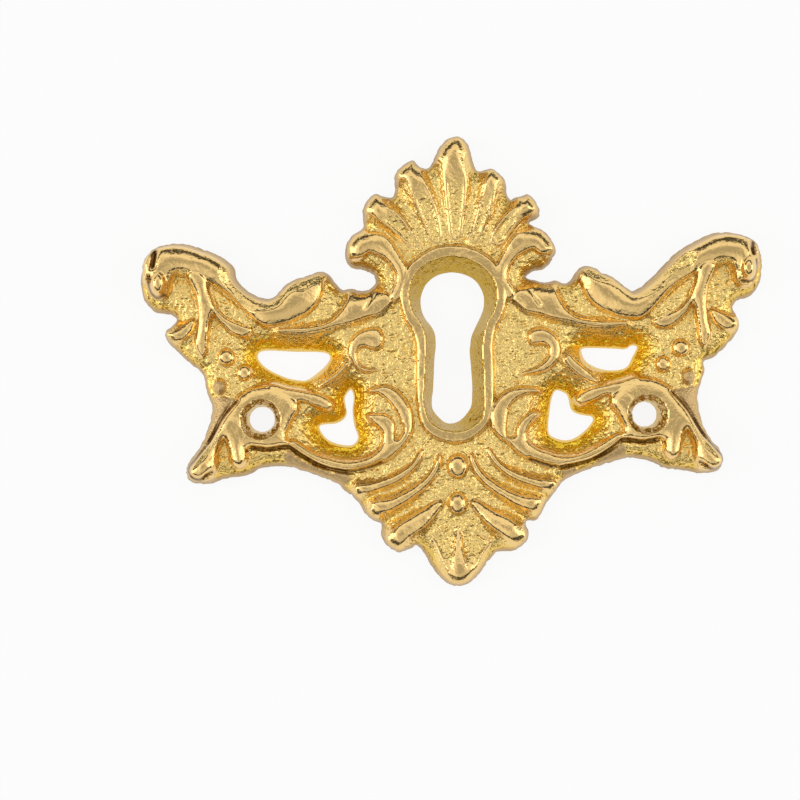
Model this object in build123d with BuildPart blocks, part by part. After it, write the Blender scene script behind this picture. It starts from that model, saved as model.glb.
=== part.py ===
# Keyhole escutcheon: a cast brass plate with scrollwork, for a cabinet door or drawer front.
# Millimetres, +Z up. The plate lies on its flat back at Z = 0, with the relief facing +Z.
# The origin is at the centre of the keyhole's round end.
import os

from build123d import *

# Overall size of the pattern
overall_width = 62.9
overall_height = 45.5

# The pattern is drawn on squared paper, 629 squares wide and 455 high
column = overall_width / 629
row = overall_height / 455

# Plate, with sides that lean in for the mould
ground_height = 2.2
wall_lean = 0.6
pierce_lean = 0.8

# Section of a ridge: how deep its foot is sunk, and the share of its width that is flat on top
ridge_bury = 0.4
crown_share = 0.5

# How finely the curves are cut: the flats from one point of a curve to the next
ridge_flats = 2
outline_flats = 5
pierce_flats = 4

# Keyhole, with the raised rim around it
keyhole_radius = 3.2
keyhole_depth = 12.0
neck_half_width = 1.75
slot_half_width = 2.05
neck_drop = 4.6
neck_round = 3.2
rim_reveal = 1.15
rim_width = 0.75
rim_rise = 0.7

# Pin holes, each in a round collar
pin_spacing = 38.6
pin_drop = 11.35
pin_hole_radius = 1.28
pin_sink_radius = 1.95
pin_sink_angle = 100
collar_radius = 3.1
collar_slope = 0.4
collar_rise = 0.85

# Half widths and rises of the carved ridges, at their fullest
petal_half_width = 1.05
petal_rise = 1.3
curl_half_width = 0.8
curl_rise = 1.4
wing_half_width = 1.0
wing_rise = 2.5
leaf_half_width = 1.5
leaf_rise = 1.3
stem_half_width = 0.75
stem_rise = 1.2
strip_half_width = 0.5
strip_rise = 0.8
comma_half_width = 0.6
comma_rise = 1.0
foot_half_width = 0.9
foot_rise = 1.6
scroll_half_width = 0.62
scroll_rise = 1.4
rib_half_width = 0.55
rib_rise = 1.1
lobe_half_width = 0.95
lobe_rise = 1.4
tail_half_width = 0.75
tail_rise = 1.2

# Beads
bead_radius = 0.95
bead_rise = 1.0
side_bead_radius = 0.75
side_bead_rise = 0.8
bead_crown = 0.55
bead_sides = 12

# Left half of the outline, from the crest down to the tail, one smooth stretch a row
outline_stretches = [
    [(0, 170), (-14, 161), (-20, 148), (-27, 136)],
    [(-27, 136), (-49, 138), (-59, 107)],
    [(-59, 107), (-83, 108), (-85, 79)],
    [(-85, 79), (-99, 70), (-107, 54), (-99, 38), (-77, 25)],
    [(-77, 25), (-90, 19), (-113, 19)],
    [(-113, 19), (-134, 36), (-157, 28), (-184, 10)],
    [
        (-184, 10), (-204, 22), (-221, 45), (-247, 60), (-276, 67),
        (-303, 60), (-314, 36), (-311, 13), (-281, -9),
    ],
    [(-281, -9), (-290, -25), (-277, -46), (-254, -64)],
    [(-254, -64), (-246, -99), (-266, -149), (-271, -166), (-258, -176)],
    [(-258, -176), (-230, -172), (-204, -166), (-180, -159), (-150, -165), (-118, -178)],
    [(-118, -178), (-102, -193), (-88, -213), (-74, -221)],
    [(-74, -221), (-74, -234), (-62, -249), (-37, -250)],
    [(-37, -250), (-24, -267), (-10, -282), (0, -285)],
]

# Pierced openings of the left half, each run anticlockwise
half_moon = [
    (-191, -48), (-173, -66), (-154, -72), (-138, -66),
    (-127, -53), (-128, -46), (-158, -45), (-186, -43),
]
side_slit = [
    (-104, -86), (-112, -93), (-113, -104), (-118, -113), (-138, -119),
    (-132, -131), (-113, -139), (-96, -132), (-99, -112),
]

# Ridges of the left half: a point of the spine and the share of the full section there
petals = [
    [(-17, 64, 0.4), (-28, 97, 0.85), (-39, 123, 1.0), (-44, 136, 0.5)],
    [(-34, 63, 0.4), (-53, 86, 0.85), (-69, 97, 1.0), (-80, 102, 0.5)],
]
crest_petal = [(0, 62, 0.4), (0, 95, 0.85), (0, 135, 1.1), (0, 162, 0.6)]
curl = [
    (-94, 51, 0.8), (-87, 63, 1.0), (-68, 59, 1.0), (-53, 40, 0.95),
    (-52, 20, 0.8), (-60, 5, 0.65), (-71, -5, 0.45),
]
wing = [
    (-134, 26, 0.4), (-155, 13, 0.6), (-184, 2, 0.65), (-212, 17, 0.7),
    (-240, 43, 0.85), (-273, 53, 1.0), (-296, 45, 1.0), (-299, 26, 0.85), (-291, 15, 0.6),
]
leaf = [(-134, 16, 0.5), (-152, 2, 1.0), (-174, -7, 0.9), (-193, -10, 0.4)]
stem = [(-259, 36, 0.7), (-248, 8, 1.0), (-249, -22, 0.95), (-253, -44, 0.4)]
strips = [
    [(-238, -4, 0.6), (-223, -19, 1.0), (-206, -25, 0.6)],
    [(-262, -17, 0.7), (-272, -22, 1.1), (-281, -26, 0.7)],
    [(-174, -20, 0.5), (-140, -22, 0.9), (-108, -14, 1.1), (-72, -4, 0.8)],
    [(-134, -79, 0.5), (-122, -72, 0.8), (-110, -61, 0.6)],
    [(-174, -85, 0.9), (-150, -90, 1.0), (-125, -97, 0.6)],
]
comma = [(-75, -37, 0.8), (-88, -33, 1.0), (-100, -46, 0.95), (-93, -61, 0.7), (-77, -66, 0.45)]
foot_ribs = [
    [(-222, -96, 0.5), (-233, -117, 0.75), (-248, -145, 1.0), (-260, -161, 0.7)],
    [(-226, -126, 0.5), (-221, -145, 0.75), (-216, -158, 0.5)],
]
scrolls = [
    [(-86, -88, 0.5), (-71, -87, 0.8), (-55, -104, 1.0), (-49, -126, 1.0), (-57, -142, 0.8)],
    [(-54, -138, 0.7), (-70, -152, 1.0), (-98, -159, 0.8), (-132, -154, 0.65), (-164, -139, 0.45)],
    [(-83, -112, 0.5), (-71, -118, 0.8), (-67, -133, 0.9), (-79, -148, 0.5)],
]
ribs = [
    [(-26, -167, 0.6), (-46, -188, 1.0), (-66, -198, 1.0), (-82, -202, 0.7)],
    [(-34, -149, 0.5), (-54, -167, 0.8), (-76, -177, 0.8), (-98, -183, 0.5)],
]
lobe = [(-20, -196, 0.4), (-37, -216, 0.85), (-54, -229, 1.0), (-63, -236, 0.6)]
tail_edge = [(-29, -233, 0.4), (-21, -255, 0.7), (-6, -276, 0.5)]
tail_rib = [(0, -225, 0.35), (0, -262, 1.0), (0, -277, 0.6)]

# Beads: down the middle, and beside each stem
middle_beads = [(0, -163), (0, -200)]
side_beads = [(-227, -48), (-210, -65)]


def on_paper(x, y):
    return (x * column, y * row)


# Values with others evenly between them, one for each flat
def in_flats(values):
    finer = []
    for first, second in zip(values, values[1:]):
        finer += [first + (second - first) * flat / ridge_flats for flat in range(ridge_flats)]
    return finer + values[-1:]


# A ridge: a flat-topped section carried along a smooth spine, thick and thin as the carver cut it
def ridge(stations, half_width, rise):
    points = [on_paper(x, y) for x, y, share in stations]
    with BuildLine():
        spine = Spline(*points)
    places = in_flats([spine.param_at_point(point) for point in points])
    shares = in_flats([share for x, y, share in stations])
    with BuildPart() as carved:
        for place, share in zip(places, shares):
            point = spine.position_at(place)
            run = spine.tangent_at(place)
            across = Plane((point.X, point.Y, ground_height), x_dir=(-run.Y, run.X, 0), z_dir=run)
            width = half_width * share
            height = rise * share
            with BuildSketch(across):
                Polygon(
                    (-width, -ridge_bury),
                    (width, -ridge_bury),
                    (width * crown_share, height),
                    (-width * crown_share, height),
                    align=None,
                )
        loft(ruled=True)
    return carved.part


def both_sides(part):
    return [part, mirror(part, about=Plane.YZ)]


def bead(x, y, radius, rise):
    with BuildPart() as knob:
        with BuildSketch(Plane((*on_paper(x, y), ground_height - ridge_bury))):
            RegularPolygon(radius, bead_sides)
        with BuildSketch(Plane((*on_paper(x, y), ground_height + rise))):
            RegularPolygon(radius * bead_crown, bead_sides)
        loft(ruled=True)
    return knob.part


# The keyhole's outline at a height, let out by a margin for the rim
def keyhole(margin, height):
    neck = neck_half_width + margin
    foot = slot_half_width + margin
    foot_level = slot_half_width - keyhole_depth
    with BuildSketch(Plane.XY.offset(height)) as opening:
        Circle(keyhole_radius + margin)
        with BuildLine():
            Polyline(
                (-foot, foot_level), (-neck, -neck_drop), (-neck, 0),
                (neck, 0), (neck, -neck_drop), (foot, foot_level),
            )
            ThreePointArc((foot, foot_level), (0, -keyhole_depth - margin), (-foot, foot_level))
        make_face()
        neck_corners = opening.vertices().filter_by(lambda corner: abs(abs(corner.X) / neck - 1) < 0.01)
        fillet(neck_corners.sort_by(Axis.Y)[-2:], neck_round - margin)
    return opening.sketch


# Points along the smooth curve through some points of the paper
def smooth_run(points, flats, closed):
    with BuildLine():
        curve = Spline(*[on_paper(x, y) for x, y in points], periodic=closed)
    count = flats * (len(points) if closed else len(points) - 1)
    return [curve.position_at(flat / count) for flat in range(count)]


# Points that run anticlockwise, each moved along its normal, to the left of the run
def moved_left(points, distance, before_first, after_last):
    moved = []
    for before, point, after in zip([before_first] + points, points, points[1:] + [after_last]):
        moved.append(point + (after - before).normalized().rotate(Axis.Z, 90) * distance)
    return moved


# The plate's outline at a height, drawn in by the lean of its sides
def plate_outline(lean, height):
    left = []
    for stretch in outline_stretches:
        left += smooth_run(stretch, outline_flats, closed=False)
    left.append(Vector(*on_paper(*outline_stretches[-1][-1])))
    across = [Vector(-end.X, end.Y) for end in (left[1], left[-2])]
    with BuildSketch(Plane.XY.offset(height)) as outline:
        with BuildLine():
            Polyline(*moved_left(left, lean, *across))
            mirror(about=Plane.YZ)
        make_face()
    return outline.sketch


# A pierced opening at a height, let out by the lean of its sides
def pierced(points, lean, height):
    run = smooth_run(points, pierce_flats, closed=True)
    with BuildSketch(Plane.XY.offset(height)) as opening:
        with BuildLine():
            Polyline(*moved_left(run, -lean, run[-1], run[0]), close=True)
        make_face()
    return opening.sketch


relief = []
for stations in petals:
    relief += both_sides(ridge(stations, petal_half_width, petal_rise))
relief.append(ridge(crest_petal, petal_half_width, petal_rise))
relief += both_sides(ridge(curl, curl_half_width, curl_rise))
relief += both_sides(ridge(wing, wing_half_width, wing_rise))
relief += both_sides(ridge(leaf, leaf_half_width, leaf_rise))
relief += both_sides(ridge(stem, stem_half_width, stem_rise))
for stations in strips:
    relief += both_sides(ridge(stations, strip_half_width, strip_rise))
relief += both_sides(ridge(comma, comma_half_width, comma_rise))
for stations in foot_ribs:
    relief += both_sides(ridge(stations, foot_half_width, foot_rise))
for stations in scrolls:
    relief += both_sides(ridge(stations, scroll_half_width, scroll_rise))
for stations in ribs:
    relief += both_sides(ridge(stations, rib_half_width, rib_rise))
relief += both_sides(ridge(lobe, lobe_half_width, lobe_rise))
relief += both_sides(ridge(tail_edge, tail_half_width, tail_rise))
relief.append(ridge(tail_rib, tail_half_width, tail_rise))
for x, y in middle_beads:
    relief.append(bead(x, y, bead_radius, bead_rise))
for x, y in side_beads:
    relief += both_sides(bead(x, y, side_bead_radius, side_bead_rise))

rim_height = ground_height + rim_rise
collar_height = ground_height + collar_rise
pin_places = [(-pin_spacing / 2, -pin_drop), (pin_spacing / 2, -pin_drop)]

# Pierced openings, wider at the front
pierce_height = ground_height + scroll_rise
openings = []
for points in (half_moon, side_slit):
    with BuildPart() as opening:
        loft([pierced(points, 0, 0), pierced(points, pierce_lean, pierce_height)], ruled=True)
    openings += both_sides(opening.part)

with BuildPart() as escutcheon:
    # Plate
    loft([plate_outline(0, 0), plate_outline(wall_lean, ground_height)], ruled=True)

    # Carved relief, and the collars of the pin holes
    add(relief)
    with Locations(*pin_places):
        Cone(
            collar_radius,
            collar_radius - collar_slope,
            collar_height,
            align=(Align.CENTER, Align.CENTER, Align.MIN),
        )

    # Rim of the keyhole
    extrude(keyhole(rim_reveal + rim_width, 0), amount=rim_height)

    # Keyhole, wider at the front
    loft([keyhole(0, 0), keyhole(rim_reveal, rim_height)], mode=Mode.SUBTRACT)

    # Pierced openings
    add(openings, mode=Mode.SUBTRACT)

    # Pin holes
    with Locations(*[(x, y, collar_height) for x, y in pin_places]):
        CounterSinkHole(pin_hole_radius, pin_sink_radius, counter_sink_angle=pin_sink_angle)

escutcheon.part.label = "escutcheon"
os.makedirs("parts", exist_ok=True)
export_step(escutcheon.part, "parts/escutcheon.step")
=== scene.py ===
import math

import bmesh
import bpy
import numpy as np
from mathutils import Matrix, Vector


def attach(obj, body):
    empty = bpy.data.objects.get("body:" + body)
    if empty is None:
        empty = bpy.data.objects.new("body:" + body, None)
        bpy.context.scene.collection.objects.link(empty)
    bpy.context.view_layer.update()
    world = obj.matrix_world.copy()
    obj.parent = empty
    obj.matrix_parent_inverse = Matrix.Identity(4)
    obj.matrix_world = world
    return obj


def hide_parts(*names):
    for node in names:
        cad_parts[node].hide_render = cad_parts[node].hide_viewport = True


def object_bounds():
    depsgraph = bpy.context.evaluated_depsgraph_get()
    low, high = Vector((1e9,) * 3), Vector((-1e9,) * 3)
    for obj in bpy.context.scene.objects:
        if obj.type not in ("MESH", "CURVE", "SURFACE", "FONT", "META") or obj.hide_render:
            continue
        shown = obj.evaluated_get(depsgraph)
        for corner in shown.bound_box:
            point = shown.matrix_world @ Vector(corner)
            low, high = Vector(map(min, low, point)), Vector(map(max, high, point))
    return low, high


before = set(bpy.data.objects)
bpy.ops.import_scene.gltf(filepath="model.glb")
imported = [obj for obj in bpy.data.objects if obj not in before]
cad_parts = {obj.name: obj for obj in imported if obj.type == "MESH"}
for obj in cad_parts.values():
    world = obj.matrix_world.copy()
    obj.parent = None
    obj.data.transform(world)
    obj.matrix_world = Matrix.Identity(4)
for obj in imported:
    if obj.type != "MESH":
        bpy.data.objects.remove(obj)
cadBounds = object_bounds()
scene = bpy.context.scene
mm = 0.001

print("camera")
view = {
    "centre": (-5.43, -9.54),  # point of the plate under the middle of the picture, mm
    "width": 80.0,  # mm across the picture
    "level": 2.2,  # mm above the back at which that width is measured
    "turn": 1.2,  # degrees that the plate lies turned to the left
    "lens": 100.0,
}
camera = bpy.data.cameras.new("camera")
camera.lens = view["lens"]
cameraObject = bpy.data.objects.new("camera", camera)
distance = view["width"] * view["lens"] / camera.sensor_width
cameraObject.location = (view["centre"][0] * mm, view["centre"][1] * mm, (distance + view["level"]) * mm)
cameraObject.rotation_euler = (0, 0, -math.radians(view["turn"]))
scene.collection.objects.link(cameraObject)
scene.camera = cameraObject

print("relief")
# sizes in mm: a pair is where a change starts and where it is complete, and a reach is how far from its
# edge a form is worked out
casting = {
    "corners": ((-31.6, -28.8), (31.6, 17.2)),  # of the sculpted field, a little past the outline
    "step": 0.122,  # between the points of the surface
    "cutBelow": -1.5,  # the field below this height is dropped before the flat cut
    "weld": 1e-5,  # points this close to the flat cut are moved onto it
    "flat": 1e-4,  # height below which a point counts as part of the back
    "topGap": 0.01,  # kept below the top of the solid
    # lumps: height, size and random seed
    "groundLumps": (0.06, 1.7, 1),
    "groundDimples": (0.036, 0.8, 2),
    "faceWaves": (0.1, 2.2, 3),
    "sandGrains": (0.11, 0.27, 4),
    "facePits": (0.02, 0.5, 5),
    "wallLumps": (0.09, 0.45, 6),
    # sandy ground
    "ground": 2.15,
    "sandEdge": 0.05,  # half the width of the change from sand to polish, in height
    "bedReach": 1.0,
    "bedSide": (-0.4, 0.4),  # distance inside a bed's edge
    "hollow": (2.1, 1.3),  # heights between which the sheen of a hollow comes in
    # outer edge
    "edgeReach": 3.0,
    "wallSlope": 6.0,  # rise over run of the outer wall
    "wallBlend": 0.3,
    "edgeRound": 1.8,  # width of the rounding above the outer wall
    "edgeDrop": 1.1,  # how far that rounding falls for its width
    "edgeArc": 0.98,  # share of a quarter circle that the rounding follows
    "castEdge": (0.6, 0.35),  # distance from the outline at which polish gives way to the wall as cast
    "edgeGround": 0.8,  # distance from the outline within which the ground is rubbed smoother
    "edgeSand": 0.25,  # how sandy it still is there
    "footShadow": 0.3,  # how dark the painted shadow at the foot of the outer wall is
    "footHeights": (1.3, 0.6),  # heights between which it darkens
    "footReach": 1.0,  # distance from the outline within which it does
    # polished bands
    "bandReach": 1.6,
    "grow": 0.1,  # how far a band reaches past its edge
    "crown": 1.2,  # distance from the edge to the top of the swell
    "shoulder": 0.3,  # rounding of a band's edge where the band has no rounding of its own
    "shoulderDrop": 0.6,  # how far it falls for its width
    "sideSlope": 5.0,  # rise over run of a band's side
    "sandySlope": 1.05,  # the same where the side is left sandy
    "sandyFrom": -0.12,  # distance inside the edge, negative past it, at which such a side is all sand
    "scoopEdge": (0.3, 0.55),  # distance inside the edge of a scooped band
    "scoopFade": (0.1, 0.4333),  # share of the way from tip to root
    "scoopGrain": 0.6,  # share of the sand's grain in scoops and on sandy sides
    "spread": 1.3,  # how far a band's edge beside the outline is carried past it
    "spreadEdge": (0.95, 0.6),  # distance from the outline
    "beadPower": 2.6,  # 2 is a plain dome, and more is a flatter top
    "bandBlend": 0.08,  # softness where bands meet each other
    "faceBlend": 0.2,  # softness where the bands meet the ground
    # hollows and creases cut into the bands
    "troughReach": 0.6,
    "troughSide": (-0.06, 0.24),  # distance inside the edge of a hollow
    "troughSand": (0.0, 0.15),  # the same for its sand
    "lineReach": 1.0,
    "lineShade": (0.125, 0.5417),  # depth of cut between which the painted shade comes in
    # openings: distance out from the edge, and height there
    "openingReach": 2.8,
    "bowl": [(-1.0, 0.0), (0.0, 0.4), (0.2, 0.8), (1.0, 1.5), (2.0, 2.2), (2.7, 3.2)],
    "bowlBlend": 0.3,
    "openingWall": [(-1.0, -4.0), (0.0, 0.0), (0.2, 1.0), (0.5, 2.0), (0.9, 5.0)],
    "openingBlend": 0.15,
    "openingSand": (0.0, 0.1),  # how far the ground stands above the wall
    "openingGrain": (0.0, -0.5),  # distance inside the opening, negative outside it
    # keyhole
    "keyholeReach": 2.6,
    "keyholeFall": 4.0,  # rise over run below the edge of the opening
    "keyholeGrain": 1.5,  # grain of its wall beside that of the ground
    "keyholeGrainEdge": (0.0, 0.6667),  # distance out from the opening
    "keyholeSand": 0.9,  # how sandy its wall is
    "keyholeShade": 0.42,  # how much painted shade its wall gets
    "rimHeight": 3.0,
    "rimSwell": 0.03,  # how far the rim stands up in its middle
    # pin holes: x, y and radius, then distance out from the edge and height there
    "pinHoles": [(-19.37, -11.2, 1.28), (19.2, -11.5, 1.26)],
    "pinWall": [(-1.3, -4.0), (0.0, 0.0), (0.14, 1.9), (0.67, 2.85), (0.8, 5.0)],
    "pinGrain": 5.0,  # grain of the countersink beside that of the ground
    "pinGrainFrom": 0.12,  # distance out at which it starts
    "pinRing": 0.8,  # width of the countersink
    "pinSand": 0.8,  # how sandy it is
    "pinShade": 0.3,  # how much painted shade the countersink gets
}
outlineLeft = [  # x and y in mm, read off, as in the lists below
    (0.6, 16.94), (-0.3, 16.6), (-1.0, 15.8), (-1.3, 15.2), (-1.85, 14.1), (-2.3, 13.8), (-3.0, 14.0),
    (-3.35, 14.4), (-3.7, 14.65), (-4.5, 14.25), (-5.2, 13.7), (-5.6, 13.0), (-5.55, 12.2), (-5.5, 11.6),
    (-5.8, 10.95), (-6.6, 11.05), (-7.4, 11.35), (-8.0, 11.05), (-8.5, 10.5), (-8.85, 9.7), (-8.8, 8.9),
    (-8.85, 8.0), (-9.2, 7.6), (-9.9, 7.2), (-10.5, 6.4), (-10.7, 5.3), (-10.55, 4.5), (-10.2, 4.0),
    (-9.7, 3.75), (-9.0, 3.65), (-8.4, 3.4), (-7.9, 3.1), (-7.65, 2.4), (-8.1, 1.85), (-8.7, 1.6),
    (-9.3, 1.6), (-10.0, 1.8), (-10.6, 1.75), (-11.0, 1.7), (-11.6, 2.3), (-12.1, 3.0), (-12.5, 3.4),
    (-13.0, 3.6), (-13.8, 3.5), (-14.6, 3.2), (-15.7, 2.9), (-16.6, 2.45), (-17.4, 1.7), (-18.0, 1.1),
    (-18.7, 1.0), (-19.8, 1.35), (-20.8, 2.0), (-21.6, 2.95), (-21.9, 4.2), (-23.0, 5.2), (-24.0, 5.75),
    (-25.0, 6.15), (-26.0, 6.5), (-27.0, 6.7), (-28.0, 6.75), (-29.0, 6.6), (-29.9, 6.3), (-30.6, 5.7),
    (-31.05, 5.0), (-31.25, 4.0), (-31.38, 3.0), (-31.2, 1.5), (-30.9, 0.8), (-30.3, 0.1),
    (-29.8, -0.25), (-29.0, -0.4), (-28.3, -0.55), (-27.8, -1.0), (-28.4, -1.7), (-28.9, -2.0),
    (-29.05, -2.4), (-28.9, -2.9), (-28.5, -3.5), (-27.5, -4.5), (-26.4, -5.6), (-25.6, -6.2),
    (-25.2, -6.8), (-25.0, -8.0), (-24.7, -9.0), (-24.4, -9.8), (-24.6, -11.0), (-24.9, -12.0),
    (-25.4, -13.2), (-26.0, -14.2), (-26.7, -15.1), (-27.15, -15.9), (-27.2, -16.5), (-27.0, -17.1),
    (-26.4, -17.5), (-25.5, -17.65), (-24.6, -17.6), (-23.6, -17.25), (-22.9, -17.1), (-20.9, -16.8),
    (-19.7, -16.2), (-18.9, -16.05), (-17.8, -16.0), (-16.7, -16.1), (-15.5, -16.5), (-14.0, -17.0),
    (-12.0, -17.85), (-11.3, -18.5), (-10.5, -19.2), (-9.7, -20.0), (-9.2, -21.0), (-8.3, -21.7),
    (-7.6, -22.0), (-7.65, -23.0), (-7.4, -23.8), (-6.9, -24.4), (-6.2, -24.85), (-5.7, -24.95),
    (-4.5, -24.5), (-3.9, -24.4), (-3.2, -25.3), (-2.8, -26.1), (-2.2, -27.0), (-1.5, -27.8),
    (-0.8, -28.3), (0.0, -28.48),
]
outlineRight = [
    (1.3, 16.85), (2.0, 16.1), (2.3, 15.0), (2.5, 14.2), (2.75, 13.6), (3.2, 13.4), (4.2, 13.7),
    (5.0, 13.2), (5.6, 12.5), (5.78, 11.9), (5.8, 11.0), (6.2, 10.45), (6.6, 10.75), (7.3, 10.8),
    (7.8, 11.0), (8.4, 10.6), (8.9, 9.9), (9.1, 9.2), (9.0, 8.6), (8.5, 8.3), (8.05, 8.0), (8.7, 7.65),
    (9.4, 7.3), (10.1, 6.5), (10.6, 5.5), (10.65, 5.0), (10.2, 4.2), (9.6, 3.45), (9.0, 3.25),
    (8.3, 3.15), (7.6, 2.6), (8.2, 2.35), (9.0, 2.15), (9.7, 2.05), (10.6, 2.25), (11.2, 1.95),
    (11.9, 2.1), (12.6, 3.1), (13.0, 3.45), (13.7, 3.65), (14.5, 3.45), (15.3, 2.9), (16.2, 2.5),
    (17.0, 1.9), (18.0, 1.1), (18.4, 1.0), (19.6, 1.8), (20.5, 2.6), (21.5, 3.6), (22.4, 4.5),
    (23.4, 5.2), (24.4, 5.75), (25.5, 6.3), (26.5, 6.65), (27.5, 6.75), (28.5, 6.65), (29.5, 6.4),
    (30.4, 6.0), (31.0, 5.4), (31.3, 4.6), (31.4, 3.6), (31.35, 2.6), (31.15, 1.6), (30.7, 0.8),
    (30.2, 0.25), (29.5, -0.1), (28.8, -0.25), (28.35, -0.9), (28.7, -1.6), (28.95, -2.2), (28.95, -2.9),
    (28.6, -3.6), (28.0, -4.4), (27.3, -5.1), (26.2, -6.0), (25.3, -6.3), (25.4, -7.2), (25.05, -8.3),
    (24.75, -9.2), (24.65, -10.0), (24.75, -11.0), (25.0, -12.2), (25.4, -13.2), (26.0, -14.3),
    (26.6, -14.9), (27.0, -15.6), (27.1, -16.2), (26.9, -16.9), (26.4, -17.4), (25.5, -17.6),
    (24.5, -17.6), (23.5, -17.35), (21.0, -17.0), (20.2, -16.5), (19.3, -16.15), (18.3, -15.95),
    (17.4, -15.9), (16.5, -16.05), (15.3, -16.45), (14.0, -16.8), (12.0, -17.5), (10.9, -18.1),
    (10.1, -19.1), (9.2, -20.2), (8.5, -21.5), (8.0, -22.0), (7.1, -22.1), (7.3, -23.2), (7.1, -24.0),
    (6.5, -24.6), (5.8, -25.0), (5.2, -25.05), (4.3, -25.05), (3.8, -25.3), (3.2, -26.0), (2.5, -26.9),
    (1.8, -27.7), (1.0, -28.25),
]
keyholeEdge = [
    (0.0, 3.2), (-1.2, 3.0), (-2.1, 2.5), (-2.7, 1.8), (-3.1, 0.7), (-3.05, -0.5), (-2.7, -1.4),
    (-2.1, -2.2), (-1.75, -3.0), (-1.7, -4.2), (-1.85, -5.5), (-2.05, -8.5), (-2.2, -9.5),
    (-2.15, -10.5), (-1.6, -11.3), (-0.9, -11.9), (-0.2, -12.0), (0.6, -11.7), (1.3, -11.0),
    (1.75, -10.2), (1.85, -9.0), (1.85, -7.5), (1.7, -5.0), (1.75, -4.2), (1.9, -3.3), (2.3, -2.4),
    (2.9, -1.2), (3.2, -0.3), (3.2, 0.8), (2.8, 1.8), (2.2, 2.5), (1.2, 3.0),
]
rimInside = [
    (0.0, 4.7), (-1.3, 4.5), (-2.5, 4.0), (-3.5, 3.2), (-4.1, 2.2), (-4.3, 1.0), (-4.2, 0.0),
    (-3.9, -0.9), (-3.2, -1.9), (-2.8, -3.2), (-2.75, -4.5), (-3.0, -8.0), (-3.1, -9.5), (-2.95, -10.8),
    (-2.3, -12.0), (-1.3, -12.6), (0.0, -12.85), (1.4, -12.6), (2.4, -11.9), (2.9, -11.0), (3.05, -8.0),
    (2.9, -5.0), (3.0, -3.6), (3.4, -2.1), (4.1, -0.9), (4.45, 0.5), (4.4, 1.6), (3.9, 2.7), (2.9, 3.7),
    (1.6, 4.4),
]
rimOutside = [
    (0.0, 5.7), (-1.6, 5.5), (-3.0, 4.8), (-4.2, 3.8), (-4.9, 2.4), (-5.1, 0.8), (-4.9, -0.5),
    (-4.6, -1.6), (-4.0, -2.6), (-3.6, -4.0), (-3.6, -6.0), (-3.65, -8.0), (-3.6, -10.0), (-3.2, -12.0),
    (-2.4, -13.0), (-1.2, -13.6), (0.0, -13.8), (1.3, -13.6), (2.4, -12.9), (3.3, -11.9), (3.8, -10.0),
    (3.9, -7.0), (3.85, -4.2), (4.2, -2.6), (4.75, -1.6), (5.2, -0.3), (5.3, 1.0), (5.0, 2.4),
    (4.3, 3.8), (3.2, 4.8), (1.7, 5.5),
]
piercings = [
    [
        (-19.7, -4.9), (-19.0, -4.3), (-16.0, -4.45), (-13.0, -4.6), (-12.4, -5.1), (-12.7, -5.7),
        (-13.4, -6.4), (-14.7, -7.3), (-15.5, -7.35), (-17.0, -7.0), (-18.9, -6.0),
    ],
    [
        (18.6, -4.7), (18.0, -4.55), (17.4, -4.9), (16.0, -4.8), (13.3, -4.7), (13.0, -5.1),
        (13.5, -6.1), (14.8, -6.8), (16.2, -7.0), (17.5, -6.7), (18.1, -5.7),
    ],
    [
        (-10.35, -8.4), (-10.9, -9.0), (-11.0, -9.5), (-10.85, -10.9), (-11.7, -11.7), (-13.4, -11.9),
        (-13.6, -12.3), (-13.0, -13.2), (-12.2, -13.7), (-11.0, -14.0), (-10.2, -13.9), (-9.75, -13.2),
        (-10.1, -12.0), (-10.25, -10.5), (-10.1, -9.2),
    ],
    [
        (10.4, -8.9), (11.3, -9.25), (11.55, -9.7), (11.85, -10.9), (12.7, -11.4), (13.8, -11.6),
        (14.0, -12.0), (13.3, -12.9), (12.2, -13.7), (11.3, -13.95), (10.3, -13.75), (9.5, -13.1),
        (9.65, -11.0), (9.95, -9.5),
    ],
]
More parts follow.
